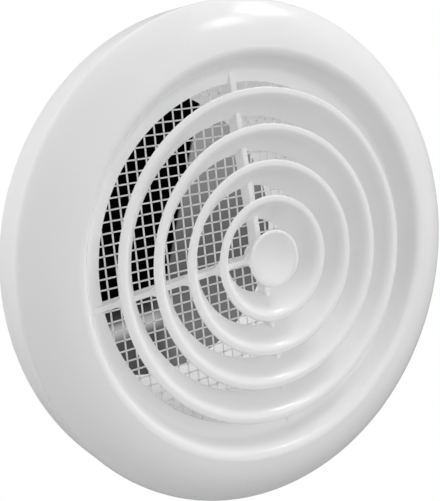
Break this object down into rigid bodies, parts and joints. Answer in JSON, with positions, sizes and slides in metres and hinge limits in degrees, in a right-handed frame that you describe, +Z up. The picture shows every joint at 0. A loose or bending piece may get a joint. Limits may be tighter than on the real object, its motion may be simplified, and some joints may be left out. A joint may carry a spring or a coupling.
{
  "type": "round vent cover",
  "caption": "Round domed vent cover with concentric cone rings around a centre button, insect netting behind them and a long collar that pushes into a round duct.",
  "frame": {"origin": "centre of the duct spigot in the plane of the wall", "axes": "+Y along the duct's axis from the wall into the duct, the face looks to -Y, +X to the right seen from the room, +Z up"},
  "size_m": [0.16, 0.09, 0.16],
  "materials": {
    "white_abs": "smooth moulded gloss",
    "white_netting": "satin extruded netting",
    "white_abs_collar": "smooth moulded satin"
  },
  "bodies": {
    "root": {"face_grille": "white_abs", "insect_screen": "white_netting", "mounting_collar": "white_abs_collar"}
  },
  "joints": []
}
